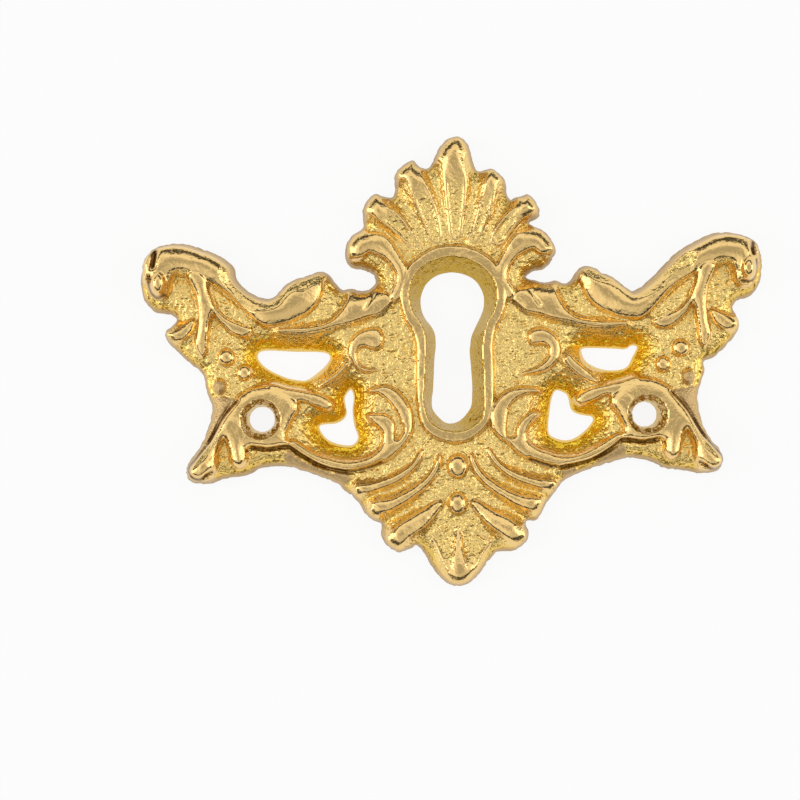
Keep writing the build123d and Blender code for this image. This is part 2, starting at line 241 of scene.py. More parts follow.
# polished bands: closed edge, height at two points, swell of the middle, and what sets each apart
# each is mirrored, unless it has points of its own for the right or is single
bands = {
    "crestPetal": {
        "edge": [
            (0.4, 16.5), (-0.3, 16.2), (-0.7, 15.6), (-0.75, 14.2), (-0.65, 12.7), (-0.5, 11.0),
            (-0.25, 8.2), (0.0, 6.5), (0.9, 6.5), (1.35, 8.5), (1.65, 11.2), (1.65, 12.8), (1.55, 14.3),
            (1.4, 15.6), (1.0, 16.3),
        ],
        "heights": [(0.5, 6.5, 2.2), (0.5, 14.0, 3.05)],
        "sandySide": True, "swell": 0.15, "hollow": 0.3, "single": True,
    },
    "petalOne": {
        "edge": [
            (-3.9, 14.0), (-4.6, 13.6), (-4.8, 12.9), (-4.25, 12.0), (-3.6, 10.2), (-2.9, 8.3),
            (-1.95, 6.1), (-1.0, 6.1), (-0.95, 7.2), (-1.35, 9.4), (-2.0, 11.2), (-2.6, 12.6),
            (-3.2, 13.7),
        ],
        "right": [
            (4.3, 13.1), (4.9, 12.5), (4.75, 11.7), (4.3, 9.9), (3.5, 7.8), (2.7, 6.2), (1.7, 6.2),
            (2.2, 7.6), (2.75, 9.4), (3.3, 11.1), (3.65, 12.6),
        ],
        "heights": [(-1.5, 6.3, 2.2), (-3.7, 12.6, 3.05)],
        "sandySide": True, "swell": 0.15, "hollow": 0.3,
    },
    "petalTwo": {
        "edge": [
            (-7.7, 10.75), (-8.25, 10.3), (-8.4, 9.6), (-7.4, 8.6), (-6.4, 7.8), (-5.4, 6.9),
            (-4.2, 5.8), (-3.0, 5.8), (-3.9, 7.4), (-5.1, 9.0), (-6.0, 9.7), (-6.8, 10.3),
        ],
        "right": [
            (7.8, 10.5), (8.45, 10.0), (8.5, 9.4), (7.4, 8.5), (6.05, 7.0), (5.2, 5.8), (4.0, 5.9),
            (4.1, 6.9), (5.05, 8.3), (6.3, 9.5), (7.1, 10.2),
        ],
        "heights": [(-3.6, 6.0, 2.2), (-7.3, 9.6, 3.05)], "sandySide": True, "swell": 0.15, "hollow": 0.3,
    },
    "curl": {
        "edge": [
            (-9.4, 6.7), (-8.8, 7.0), (-8.0, 7.1), (-7.0, 6.95), (-6.2, 6.4), (-5.2, 4.8), (-4.6, 3.7),
            (-4.45, 2.6), (-4.9, 1.3), (-5.6, 0.4), (-6.0, 0.6), (-6.05, 1.2), (-5.55, 2.2),
            (-5.45, 2.95), (-5.8, 3.7), (-6.4, 4.5), (-7.3, 5.1), (-8.2, 5.4), (-8.9, 4.9), (-9.6, 4.8),
            (-10.1, 5.4), (-9.95, 6.2),
        ],
        "heights": [(-5.8, 0.5, 2.7), (-7.5, 6.0, 3.1)], "grow": 0.15, "swell": 0.25,
    },
    "wing": {
        "edge": [
            (-28.1, 2.8), (-28.3, 1.8), (-28.9, 1.25), (-29.8, 1.4), (-30.35, 2.7), (-30.45, 4.3),
            (-29.9, 5.6), (-28.8, 6.3), (-27.5, 6.5), (-25.8, 6.1), (-24.2, 5.4), (-22.8, 4.6),
            (-21.8, 3.4), (-21.2, 2.2), (-20.2, 1.3), (-19.0, 0.8), (-18.0, 0.8), (-17.2, 1.5),
            (-16.4, 2.2), (-15.4, 2.7), (-14.4, 3.0), (-13.5, 3.3), (-12.9, 3.1), (-12.85, 2.6),
            (-13.0, 1.5), (-13.5, 0.3), (-14.5, -0.7), (-15.3, -1.1), (-16.4, -1.6), (-17.6, -1.85),
            (-18.8, -1.85), (-19.6, -1.35), (-20.5, -0.4), (-21.8, 1.0), (-23.3, 2.1), (-24.5, 2.75),
            (-25.4, 3.1), (-26.3, 3.3), (-27.6, 3.5),
        ],
        "heights": [(-14.5, 1.0, 2.75), (-28.0, 5.0, 3.5)], "swell": 0.55, "crown": 2.2, "round": 0.4,
    },
    "stem": {
        "edge": [
            (-26.3, 3.4), (-25.5, 1.5), (-25.25, -0.5), (-25.4, -2.1), (-25.7, -3.6), (-25.2, -4.8),
            (-24.7, -4.4), (-24.5, -2.8), (-24.25, -1.0), (-23.85, 0.1), (-24.4, 1.9), (-24.6, 3.0),
            (-25.4, 3.8),
        ],
        "heights": [(-25.1, -4.0, 2.65), (-25.2, 3.0, 3.6)], "swell": 0.25,
    },
    "shortLeaf": {
        "edge": [
            (-23.9, 0.2), (-22.7, -1.0), (-21.2, -1.75), (-20.2, -2.1), (-20.4, -2.6), (-21.1, -2.8),
            (-22.1, -2.4), (-22.8, -1.7), (-23.5, -0.9),
        ],
        "heights": [(-20.5, -2.4, 2.65), (-23.6, -0.3, 3.0)], "grow": 0.2, "swell": 0.2, "round": 0.35,
    },
    "lowerLeaf": {
        "edge": [
            (-10.1, 1.8), (-9.0, 1.8), (-7.8, 1.5), (-6.5, 1.1), (-6.1, 0.3), (-6.7, -0.3),
            (-7.3, -0.85), (-8.7, -1.2), (-10.1, -1.65), (-11.6, -1.95), (-13.3, -2.4), (-15.3, -2.65),
            (-17.5, -2.35), (-16.2, -2.15), (-14.5, -2.1), (-12.6, -1.75), (-11.4, -0.9), (-10.6, 0.3),
        ],
        "heights": [(-6.5, 0.5, 2.6), (-11.0, -1.0, 2.75)], "sandySide": True, "swell": 0.15,
    },
    "comma": {
        "edge": [
            (-10.2, -3.65), (-9.55, -2.9), (-8.45, -2.45), (-7.5, -2.45), (-7.05, -3.1), (-7.05, -3.7),
            (-7.4, -4.3), (-8.15, -4.3), (-8.8, -4.1), (-9.3, -4.15), (-9.6, -4.6), (-9.65, -5.2),
            (-9.3, -6.0), (-8.5, -6.4), (-7.6, -6.5), (-8.85, -6.65), (-9.6, -6.3), (-10.2, -5.5),
            (-10.43, -4.7),
        ],
        "right": [
            (7.55, -3.3), (8.1, -2.8), (9.2, -2.8), (10.2, -3.5), (10.65, -4.7), (10.35, -5.9),
            (9.1, -6.9), (7.0, -7.15), (8.4, -6.5), (9.4, -5.6), (9.55, -4.7), (9.1, -4.2), (8.3, -4.2),
            (7.7, -4.1),
        ],
        "heights": [(-8.0, -6.5, 2.55), (-8.5, -3.2, 2.8)], "swell": 0.22,
    },
    "smallRidge": {
        "edge": [
            (-13.3, -8.0), (-12.1, -7.4), (-11.2, -6.7), (-10.6, -5.9), (-10.7, -5.6), (-11.2, -6.2),
            (-12.0, -6.9), (-13.1, -7.6),
        ],
        "right": [
            (14.2, -8.2), (12.9, -7.7), (11.6, -6.6), (11.1, -5.7), (11.6, -5.4), (12.4, -6.2), (13.9, -7.5),
        ],
        "heights": [(-13.0, -7.8, 2.55), (-11.0, -6.0, 2.7)], "sandySide": True, "swell": 0.1,
    },
    "sideLobe": {
        "edge": [
            (-25.9, -1.2), (-27.0, -1.6), (-28.2, -2.1), (-28.5, -2.6), (-28.0, -3.1), (-27.0, -3.0),
            (-26.1, -2.1),
        ],
        "heights": [(-26.0, -1.8, 2.7), (-28.0, -2.5, 3.0)], "grow": 0.2, "swell": 0.2, "round": 0.4,
    },
    "footWall": {
        "edge": [
            (-21.7, -9.2), (-23.0, -11.0), (-24.2, -13.3), (-25.6, -15.0), (-26.8, -16.0),
            (-27.3, -15.6), (-25.2, -12.2), (-24.9, -9.6), (-24.7, -8.4), (-23.6, -8.7),
        ],
        "heights": [(-23.0, -9.0, 2.3), (-25.0, -14.0, 2.5)], "swell": 0.1, "round": 0.6, "asCast": 1,
    },
    "tailWall": {
        "edge": [
            (-16.9, -14.2), (-15.2, -15.2), (-13.6, -16.0), (-12.2, -16.4), (-10.8, -16.7),
            (-10.6, -17.6), (-12.0, -18.1), (-14.2, -17.1), (-16.2, -16.3), (-17.3, -15.8),
        ],
        "heights": [(-17.0, -15.0, 2.25), (-11.0, -17.0, 2.25)], "swell": 0.1, "round": 0.6, "asCast": 1,
    },
    "foot": {
        "edge": [
            (-21.9, -9.3), (-21.35, -8.75), (-20.3, -8.15), (-19.0, -7.9), (-17.95, -8.0), (-16.8, -8.5),
            (-15.8, -9.4), (-15.65, -10.3), (-16.1, -11.0), (-16.5, -11.8), (-16.9, -12.8),
            (-16.65, -13.7), (-17.5, -13.8), (-18.8, -13.95), (-20.4, -13.75), (-20.9, -14.0),
            (-20.95, -15.2), (-21.5, -15.85), (-22.2, -15.4), (-22.5, -14.1), (-22.95, -12.95),
            (-23.3, -13.1), (-23.9, -14.4), (-24.1, -16.1), (-25.3, -17.0), (-26.5, -16.7),
            (-26.75, -15.9), (-25.7, -14.9), (-24.65, -13.85), (-23.9, -12.6), (-23.35, -11.4),
            (-22.6, -10.3),
        ],
        "heights": [(-19.5, -11.0, 2.95), (-25.5, -15.5, 3.7)], "swell": 0.42, "round": 0.35,
    },
    "tongue": {
        "edge": [
            (-18.3, -7.95), (-16.8, -8.35), (-15.5, -8.6), (-13.7, -9.0), (-12.5, -9.65),
            (-12.65, -10.1), (-13.9, -9.7), (-15.1, -9.2), (-16.8, -9.3), (-18.2, -8.9),
        ],
        "heights": [(-12.5, -9.8, 2.6), (-17.0, -8.6, 2.95)], "grow": 0.3, "swell": 0.2,
    },
    "scroll": {
        "edge": [
            (-8.4, -8.6), (-7.1, -8.15), (-6.05, -8.5), (-5.2, -9.3), (-4.5, -10.5), (-4.3, -11.6),
            (-4.4, -12.65), (-4.9, -13.7), (-5.85, -14.65), (-6.75, -15.35), (-7.8, -15.85),
            (-9.25, -16.25), (-10.7, -16.4), (-12.4, -16.1), (-13.6, -15.6), (-14.95, -14.8),
            (-16.5, -13.8), (-16.2, -13.4), (-15.1, -14.1), (-13.9, -14.85), (-12.3, -15.4),
            (-10.85, -15.65), (-9.4, -15.5), (-8.25, -15.0), (-7.5, -14.35), (-7.15, -13.65),
            (-7.15, -12.95), (-7.55, -12.2), (-8.15, -11.65), (-8.5, -11.05), (-7.9, -10.95),
            (-7.0, -11.0), (-6.4, -11.35), (-6.1, -11.9), (-6.1, -12.6), (-6.15, -13.3), (-5.85, -13.6),
            (-5.45, -13.3), (-5.0, -12.45), (-5.25, -11.8), (-5.65, -10.9), (-6.2, -10.0), (-6.95, -9.2),
            (-7.85, -8.65),
        ],
        "right": [
            (8.5, -8.9), (7.4, -8.65), (6.15, -8.7), (5.0, -9.15), (4.2, -9.95), (3.75, -10.85),
            (3.7, -11.8), (3.85, -12.65), (4.4, -13.35), (5.25, -13.9), (6.05, -14.75), (6.85, -15.35),
            (8.0, -16.0), (8.9, -16.35), (9.95, -16.45), (10.9, -16.2), (12.3, -16.0), (13.6, -15.6),
            (15.0, -14.95), (16.5, -14.0), (16.3, -13.4), (15.0, -14.1), (13.0, -15.2), (11.6, -15.55),
            (10.3, -15.5), (9.25, -15.15), (8.2, -14.75), (7.55, -14.3), (7.15, -13.75), (7.05, -13.05),
            (7.25, -12.5), (7.8, -11.8), (8.2, -11.2), (7.8, -11.0), (7.2, -11.35), (6.55, -11.95),
            (6.2, -12.7), (6.05, -13.4), (5.5, -13.6), (5.15, -13.45), (5.0, -12.8), (5.1, -11.95),
            (5.2, -11.2), (5.4, -10.5), (5.9, -9.8), (6.7, -9.3), (7.6, -9.05),
        ],
        "heights": [(-16.5, -13.8, 2.8), (-7.0, -14.0, 3.05)], "grow": 0.12, "swell": 0.18,
    },
    "ribOne": {
        "edge": [
            (-6.7, -22.9), (-6.3, -22.35), (-5.3, -21.7), (-3.5, -20.7), (-1.95, -19.75), (-1.45, -19.9),
            (-1.7, -20.5), (-3.0, -22.0), (-4.3, -23.0), (-5.7, -24.0), (-6.5, -23.95), (-6.85, -23.4),
        ],
        "heights": [(-1.7, -20.0, 2.4), (-5.4, -22.7, 3.05)],
        "grow": 0.25, "sandySide": True, "swell": 0.3, "round": 0.5,
    },
    "ribTwo": {
        "edge": [
            (-8.45, -20.1), (-8.2, -19.65), (-6.5, -19.4), (-5.0, -18.75), (-3.45, -17.75),
            (-2.4, -16.6), (-1.6, -15.1), (-1.5, -15.8), (-2.0, -17.1), (-3.2, -18.4), (-4.5, -19.35),
            (-6.0, -20.2), (-7.8, -20.95), (-8.4, -20.7),
        ],
        "heights": [(-2.2, -16.5, 2.4), (-7.0, -20.0, 2.95)],
        "grow": 0.2, "sandySide": True, "swell": 0.22, "round": 0.4,
    },
    "ribThree": {
        "edge": [
            (-10.0, -18.4), (-9.8, -18.0), (-8.0, -17.7), (-6.0, -17.0), (-4.45, -16.0), (-3.6, -14.8),
            (-3.2, -14.6), (-3.7, -15.9), (-5.4, -17.4), (-7.5, -18.3), (-9.6, -18.85),
        ],
        "heights": [(-3.2, -15.0, 2.4), (-8.5, -18.2, 2.8)],
        "grow": 0.15, "sandySide": True, "swell": 0.18, "round": 0.3,
    },
    "tailLeaf": {
        "edge": [
            (-2.8, -23.1), (-2.2, -24.3), (-1.45, -26.1), (-0.65, -27.3), (0.1, -27.75), (0.75, -27.4),
            (1.5, -26.7), (2.55, -25.2), (3.4, -23.8), (2.6, -23.2), (1.2, -22.3), (0.2, -21.5),
            (-0.8, -22.2), (-1.9, -22.8),
        ],
        "heights": [(0.1, -22.0, 1.95), (0.1, -27.0, 3.1)],
        "sandySide": True, "swell": 0.12, "hollow": 0.35, "single": True,
    },
    "tailRib": {
        "edge": [
            (-0.1, -22.4), (0.3, -22.4), (0.55, -24.5), (0.9, -26.4), (0.6, -27.4), (0.1, -27.7),
            (-0.4, -27.2), (-0.65, -26.3), (-0.35, -24.5),
        ],
        "heights": [(0.1, -22.6, 2.3), (0.1, -26.0, 3.05)],
        "sandySide": True, "swell": 0.15, "single": True,
    },
}
beads = [  # x, y, half width, half height across the plate, top, and whether the right side has one too
    (0.2, -16.28, 1.12, 1.3, 3.15, False),
    (0.12, -20.0, 1.02, 1.2, 3.15, False),
    (-22.7, -4.9, 0.95, 0.9, 3.0, True),
    (-20.92, -6.5, 0.82, 0.85, 2.9, True),
    (-23.4, -7.8, 0.65, 0.85, 3.05, True),
    (-29.2, 2.6, 0.95, 1.5, 4.66, False),
    (29.4, 2.9, 0.95, 1.4, 4.66, False),
]
troughs = {  # hollows cut into a band: closed edge, depth, and how sandy they are
    "toe": {
        "edge": [
            (-24.2, -13.4), (-24.75, -14.1), (-25.5, -15.1), (-25.85, -15.8), (-25.4, -15.4),
            (-24.65, -14.7),
        ],
        "depth": 0.25, "sand": 1.0,
    },
    "wingFringe": {
        "edge": [(-28.2, 3.6), (-27.2, 4.0), (-26.3, 3.9), (-25.9, 3.3), (-27.2, 3.0)],
        "depth": 0.2, "sand": 1.0,
    },
    "wingShelf": {
        "edge": [
            (-23.2, 3.2), (-21.85, 1.25), (-20.6, -0.2), (-19.6, -0.45), (-18.75, -0.45), (-17.35, 0.0),
            (-16.65, 0.85), (-15.8, 1.45), (-14.8, 1.45), (-14.1, 1.9), (-13.0, 2.6), (-12.6, 4.4),
            (-15.7, 4.0), (-17.6, 2.8), (-18.6, 2.1), (-20.4, 2.8), (-21.2, 4.2), (-22.4, 4.9),
        ],
        "right": [
            (24.0, 2.85), (22.6, 2.0), (20.6, 0.8), (19.2, 0.27), (17.8, 0.3), (16.8, 1.0), (16.1, 1.45),
            (15.0, 1.75), (14.0, 2.1), (13.2, 2.9), (12.9, 4.4), (15.5, 4.0), (17.3, 2.8), (18.4, 2.1),
            (19.2, 2.6), (21.0, 4.4), (22.8, 5.4), (23.6, 4.4),
        ],
        "depth": 0.2, "sand": 0.4,
    },
    "wingChip": {
        "edge": [
            (24.3, 4.5), (23.2, 4.5), (22.1, 3.45), (20.65, 2.6), (19.5, 1.65), (18.7, 1.0),
            (19.2, 0.85), (20.6, 1.65), (22.05, 2.45), (23.3, 3.0), (24.2, 3.6),
        ],
        "depth": 0.3, "sand": 1.0, "single": True,
    },
}
beds = {  # sandy ground that stands higher: closed edge and height above the rest
    "scrollBed": {
        "edge": [
            (-9.0, -9.2), (-7.4, -8.9), (-6.2, -10.0), (-5.3, -11.8), (-5.2, -13.2), (-5.9, -13.6),
            (-6.2, -12.6), (-6.5, -11.4), (-7.6, -10.9), (-9.0, -10.6),
        ],
        "right": [
            (8.9, -9.4), (7.4, -9.1), (5.9, -9.8), (5.2, -11.2), (5.0, -12.8), (5.4, -13.6),
            (6.1, -13.3), (6.4, -12.2), (7.3, -11.2), (8.6, -10.8),
        ],
        "height": 0.45,
    },
    "leafBed": {
        "edge": [
            (-24.3, 2.6), (-22.4, 1.0), (-20.6, -0.5), (-19.6, -1.6), (-21.1, -2.3), (-22.5, -1.3),
            (-23.3, -0.3), (-24.2, 1.3),
        ],
        "height": 0.5,
    },
}
lines = {  # creases cut along the bands and darkened with painted shade: points, width and depth
    "foot": {
        "run": [
            (-21.75, -9.25), (-22.9, -10.6), (-23.85, -12.1), (-24.7, -13.5), (-25.85, -14.95),
            (-26.6, -15.9), (-26.4, -16.7), (-25.5, -17.05), (-24.3, -16.3),
        ],
        "width": 0.2, "depth": 0.5,
    },
    "collar": {
        "run": [
            (-20.3, -13.95), (-18.8, -14.15), (-17.5, -14.0), (-16.6, -14.0), (-15.6, -14.75),
            (-14.5, -15.45), (-13.5, -15.95), (-12.2, -16.3), (-10.6, -16.55), (-8.9, -16.25),
            (-7.4, -15.7),
        ],
        "width": 0.2, "depth": 0.5,
    },
    "knob": {
        "run": [(-30.15, 3.3), (-30.25, 2.6), (-30.05, 1.75), (-29.45, 1.15), (-28.6, 1.4)],
        "right": [(30.35, 3.7), (30.45, 3.0), (30.4, 2.3), (29.75, 1.55), (28.8, 1.6)],
        "width": 0.18, "depth": 0.5,
    },
    "wingTip": {
        "run": [(-29.5, 5.7), (-29.65, 5.0), (-29.8, 4.3)],
        "right": [(30.1, 5.4), (30.0, 4.9), (30.1, 4.4)],
        "width": 0.32, "depth": 0.6,
    },
    "leafVein": {"run": [(-8.7, -0.3), (-8.3, 0.3), (-7.9, 1.0)], "width": 0.2, "depth": 0.15},
}

low, high = np.array(casting["corners"])
counts = np.round((high - low) / casting["step"]).astype(int)
columns = np.linspace(low[0], high[0], counts[0] + 1)
rows = np.linspace(low[1], high[1], counts[1] + 1)
across, up = np.meshgrid(columns, rows)
clear = 9.0  # mm, well above or below any surface


def smoothRun(points, closed=True, spacing=0.2):  # a smooth curve through listed points
    points = np.array(points, float)
    if closed:
        ring = np.vstack([points[-1:], points, points[:2]])
    else:
        ring = np.vstack([points[:1], points, points[-1:]])
    run = []
    for before, first, second, after in zip(ring, ring[1:], ring[2:], ring[3:]):
        count = max(2, int(np.hypot(*(second - first)) / spacing))
        for t in np.arange(count) / count:
            square = (2 * before - 5 * first + 4 * second - after) * t**2
            cube = (3 * first - before - 3 * second + after) * t**3
            run.append(first + ((second - before) * t + (square + cube)) / 2)
    return np.array(run if closed else run + [points[-1]])


def gapTo(run, reach, closed=True):  # window of the grid near a run, and distance to it, positive inside
    lowest = run.min(0) - reach
    highest = run.max(0) + reach
    columnSpan = slice(*columns.searchsorted((lowest[0], highest[0])))
    rowSpan = slice(*rows.searchsorted((lowest[1], highest[1])))
    xs = columns[columnSpan]
    ys = rows[rowSpan]
    gap = np.full((len(ys), len(xs)), float(reach))
    inside = np.zeros(gap.shape, bool)
    for (ax, ay), (bx, by) in zip(run, np.roll(run, -1, 0) if closed else run[1:]):
        nearX = slice(*xs.searchsorted((min(ax, bx) - reach, max(ax, bx) + reach)))
        nearY = slice(*ys.searchsorted((min(ay, by) - reach, max(ay, by) + reach)))
        px = xs[None, nearX] - ax
        py = ys[nearY, None] - ay
        ux = bx - ax
        uy = by - ay
        t = np.clip((px * ux + py * uy) / (ux * ux + uy * uy + 1e-12), 0, 1)  # the last term avoids 0 / 0
        gap[nearY, nearX] = np.minimum(gap[nearY, nearX], np.hypot(px - t * ux, py - t * uy))
        if closed and ay != by:
            crossed = slice(*ys.searchsorted((min(ay, by), max(ay, by))))
            inside[crossed] ^= xs[None, :] < ax + (ys[crossed, None] - ay) * ux / uy
    if closed:
        gap = np.where(inside, gap, -gap)
    return (rowSpan, columnSpan), gap


def between(values, start, end):  # 0 at the start, 1 at the end
    return np.clip((values - start) / (end - start), 0, 1)


def ease(t):
    return t * t * (3 - 2 * t)


def softMax(a, b, blend):
    meet = np.maximum(blend - np.abs(a - b), 0) / blend
    return np.maximum(a, b) + meet * meet * blend / 4


def softMin(a, b, blend):
    return -softMax(-a, -b, blend)


def lumps(height, cell, seed, deviation=0.6):  # smooth random rise and fall, with lumps of one cell
    rng = np.random.default_rng(seed)
    shape = ((high - low) / cell).astype(int) + 3
    values = rng.normal(0, deviation, (shape[1], shape[0]))
    gx = (columns - low[0]) / cell
    gy = (rows - low[1]) / cell
    ix = gx.astype(int)
    iy = gy.astype(int)
    tx = ease(gx - ix)[None, :]
    ty = ease(gy - iy)[:, None]
    lower = values[np.ix_(iy, ix)] * (1 - tx) + values[np.ix_(iy, ix + 1)] * tx
    upper = values[np.ix_(iy + 1, ix)] * (1 - tx) + values[np.ix_(iy + 1, ix + 1)] * tx
    return height * (lower * (1 - ty) + upper * ty)


def bothSides(feature, key):  # a feature's points and 1 for the left, then points and -1 for the right
    points = np.array(feature[key], float)
    yield points, 1
    if not feature.get("single"):
        yield np.array(feature.get("right", points * (-1, 1)), float), -1


def heightBetween(window, ends, side):  # height that changes evenly from one point to another
    (ax, ay, az), (bx, by, bz) = ends
    ux = (bx - ax) * side
    uy = by - ay
    t = ((across[window] - ax * side) * ux + (up[window] - ay) * uy) / (ux * ux + uy * uy)
    return az + (bz - az) * np.clip(t, 0, 1)


def spread(run):  # carries the part of a run that lies near the outline past it
    column, line = np.clip(((run - low) / casting["step"]).astype(int), 0, counts).T
    push = casting["spread"] * between(toEdge[line, column], *casting["spreadEdge"])
    inwards = np.stack([edgeSlope[1][line, column], edgeSlope[0][line, column]], 1)
    return run - inwards * push[:, None]


outline = smoothRun(outlineLeft + outlineRight[::-1])
window, edgeGap = gapTo(outline, casting["edgeReach"])
toEdge = np.full(across.shape, -casting["edgeReach"])
toEdge[window] = edgeGap
edgeSlope = np.gradient(toEdge, casting["step"])

# sandy ground, with its raised beds
ground = casting["ground"] + lumps(*casting["groundLumps"]) + lumps(*casting["groundDimples"])
for bed in beds.values():
    for points, _ in bothSides(bed, "edge"):
        window, gap = gapTo(smoothRun(points), casting["bedReach"])
        ground[window] += bed["height"] * ease(between(gap, *casting["bedSide"]))

# polished bands and beads
relief = np.full(across.shape, -clear)
asCast = np.zeros(across.shape)  # walls that were never polished
bare = np.zeros(across.shape)  # sandy sides of bands
scooped = np.zeros(across.shape)


def addBand(run, band, side):
    window, gap = gapTo(run, casting["bandReach"])
    gap = gap + band.get("grow", casting["grow"])
    inner = np.maximum(gap, 0)
    crown = min(band.get("crown", casting["crown"]), inner.max())
    shoulder = band.get("round", casting["shoulder"])
    level = heightBetween(window, band["heights"], side)
    face = level + band["swell"] * (1 - np.clip(1 - inner / crown, 0, 1) ** 2)
    face -= shoulder * casting["shoulderDrop"] * np.clip(1 - inner / shoulder, 0, 1) ** 2
    face += (casting["sandySlope"] if "sandySide" in band else casting["sideSlope"]) * np.minimum(gap, 0)
    scoop = 0
    if "hollow" in band:  # a scooped middle that fades out towards the tip
        rootHeight, tipHeight = (end[2] for end in band["heights"])
        fromTip = (tipHeight - level) / (tipHeight - rootHeight)
        scoop = between(gap, *casting["scoopEdge"]) * between(fromTip, *casting["scoopFade"])
        face -= band["hollow"] * scoop
    bareSide = between(gap, 0, casting["sandyFrom"]) if "sandySide" in band else 0
    shows = face > relief[window]
    for layer, values in ((scooped, scoop), (bare, bareSide), (asCast, band.get("asCast", 0))):
        layer[window] = np.where(shows, values, layer[window])
    relief[window] = softMax(relief[window], face, casting["bandBlend"])


for band in bands.values():
    for points, side in bothSides(band, "edge"):
        addBand(spread(smoothRun(points)), band, side)
rimHeight = casting["rimHeight"]
rimEnds = [(0, 5, rimHeight), (0, -13, rimHeight)]  # the rim is level all round
addBand(smoothRun(rimOutside), {"heights": rimEnds, "swell": casting["rimSwell"]}, 1)

for x, y, halfWide, halfHigh, top, paired in beads:
    for side in (1, -1) if paired else (1,):
        t = np.hypot((across - x * side) / halfWide, (up - y) / halfHigh)
        bulge = np.sqrt(np.clip(1 - t ** casting["beadPower"], 0, 1))
        dome = casting["ground"] + (top - casting["ground"]) * bulge - clear * (t > 1)
        bare = np.where(dome > relief, 0, bare)
        relief = np.maximum(relief, dome)

leftRough = np.maximum(scooped, bare)
sandy = np.maximum(between(relief - ground, casting["sandEdge"], -casting["sandEdge"]), leftRough)
for trough in troughs.values():
    for points, _ in bothSides(trough, "edge"):
        window, gap = gapTo(smoothRun(points), casting["troughReach"])
        relief[window] -= trough["depth"] * ease(between(gap, *casting["troughSide"]))
        sandy[window] = np.maximum(sandy[window], trough["sand"] * between(gap, *casting["troughSand"]))

relief += lumps(*casting["faceWaves"]) + lumps(*casting["facePits"])
grains = lumps(*casting["sandGrains"])
ground += grains

# the ground sinks towards the openings
holes = [gapTo(smoothRun(points), casting["openingReach"]) for points in piercings]
for window, gap in holes:
    bowl = np.interp(-gap, *zip(*casting["bowl"]))
    ground[window] = softMin(ground[window], bowl + grains[window], casting["bowlBlend"])

# bands, ground and creases make one surface, which rounds over into the outer wall
sandy = np.where((toEdge < casting["edgeGround"]) & (relief < ground), casting["edgeSand"], sandy)
asCast = np.maximum(asCast * (relief > ground), between(toEdge, *casting["castEdge"]))
sandy = np.maximum(sandy, asCast)
surface = softMax(ground, relief + casting["scoopGrain"] * grains * leftRough, casting["faceBlend"])
paintedShade = np.zeros(across.shape)  # painted shade in the creases, the keyhole, the pin-hole countersinks and at the foot of the outer wall
for line in lines.values():
    for points, _ in bothSides(line, "run"):
        window, gap = gapTo(smoothRun(points, closed=False), casting["lineReach"], closed=False)
        cut = line["depth"] * np.exp(-((gap / line["width"]) ** 2))
        surface[window] -= cut
        # painted shade along the cut of each crease
        paintedShade[window] = np.maximum(paintedShade[window], between(cut, *casting["lineShade"]))
curve = np.clip(1 - toEdge / casting["edgeRound"], 0, casting["edgeArc"])
drop = casting["edgeDrop"] * casting["edgeRound"] * (1 - np.sqrt(1 - curve**2))
outerWall = casting["wallSlope"] * (toEdge - np.abs(lumps(*casting["wallLumps"])))
surface = softMin(surface - drop, outerWall, casting["wallBlend"])

# openings
for window, gap in holes:
    limit = np.interp(-gap, *zip(*casting["openingWall"]))
    wallShows = between(surface[window] - limit, *casting["openingSand"])
    sandy[window] = np.maximum(sandy[window], wallShows)
    limit = limit + grains[window] * between(gap, *casting["openingGrain"])
    surface[window] = softMin(surface[window], limit, casting["openingBlend"])

# keyhole, with a wall that leans from the inside of the rim to the opening
window, openGap = gapTo(smoothRun(keyholeEdge), casting["keyholeReach"])
rimWindow, rimField = gapTo(smoothRun(rimInside), casting["keyholeReach"])
rimGap = np.full(across.shape, -clear)
rimGap[rimWindow] = rimField
rimGap = rimGap[window]
inKeyhole = (openGap > 0) | (rimGap > 0)
fromHole = np.maximum(-openGap, 0)
wall = rimHeight * fromHole / (fromHole + np.maximum(rimGap, 0) + 1e-6)  # the last term avoids 0 / 0
wall = np.where(openGap > 0, -casting["keyholeFall"] * openGap, wall)
wall += casting["keyholeGrain"] * grains[window] * between(fromHole, *casting["keyholeGrainEdge"])
sandy[window] = np.maximum(sandy[window], casting["keyholeSand"] * inKeyhole)
# painted shade on the keyhole's wall
paintedShade[window] = np.maximum(paintedShade[window], casting["keyholeShade"] * inKeyhole)
surface[window] = np.where(inKeyhole, np.minimum(surface[window], wall), surface[window])

# pin holes
for x, y, radius in casting["pinHoles"]:
    out = np.hypot(across - x, up - y) - radius
    limit = np.interp(out, *zip(*casting["pinWall"]))
    limit += casting["pinGrain"] * grains * (out > casting["pinGrainFrom"])
    ring = (limit < surface) & (out < casting["pinRing"])
    sandy = np.maximum(sandy, casting["pinSand"] * ring)
    # painted shade in the countersink
    paintedShade = np.maximum(paintedShade, casting["pinShade"] * ring)
    surface = np.minimum(surface, limit)

surface = np.minimum(surface, cadBounds[1][2] / mm - casting["topGap"])
# painted shadow: the outer wall darkens towards its foot, near the outline
foot = between(surface, *casting["footHeights"]) * (toEdge < casting["footReach"])
paintedShade = np.maximum(paintedShade, casting["footShadow"] * foot)
hollow = between(surface, *casting["hollow"])
hollow[window] = np.maximum(hollow[window], inKeyhole)

print("casting")


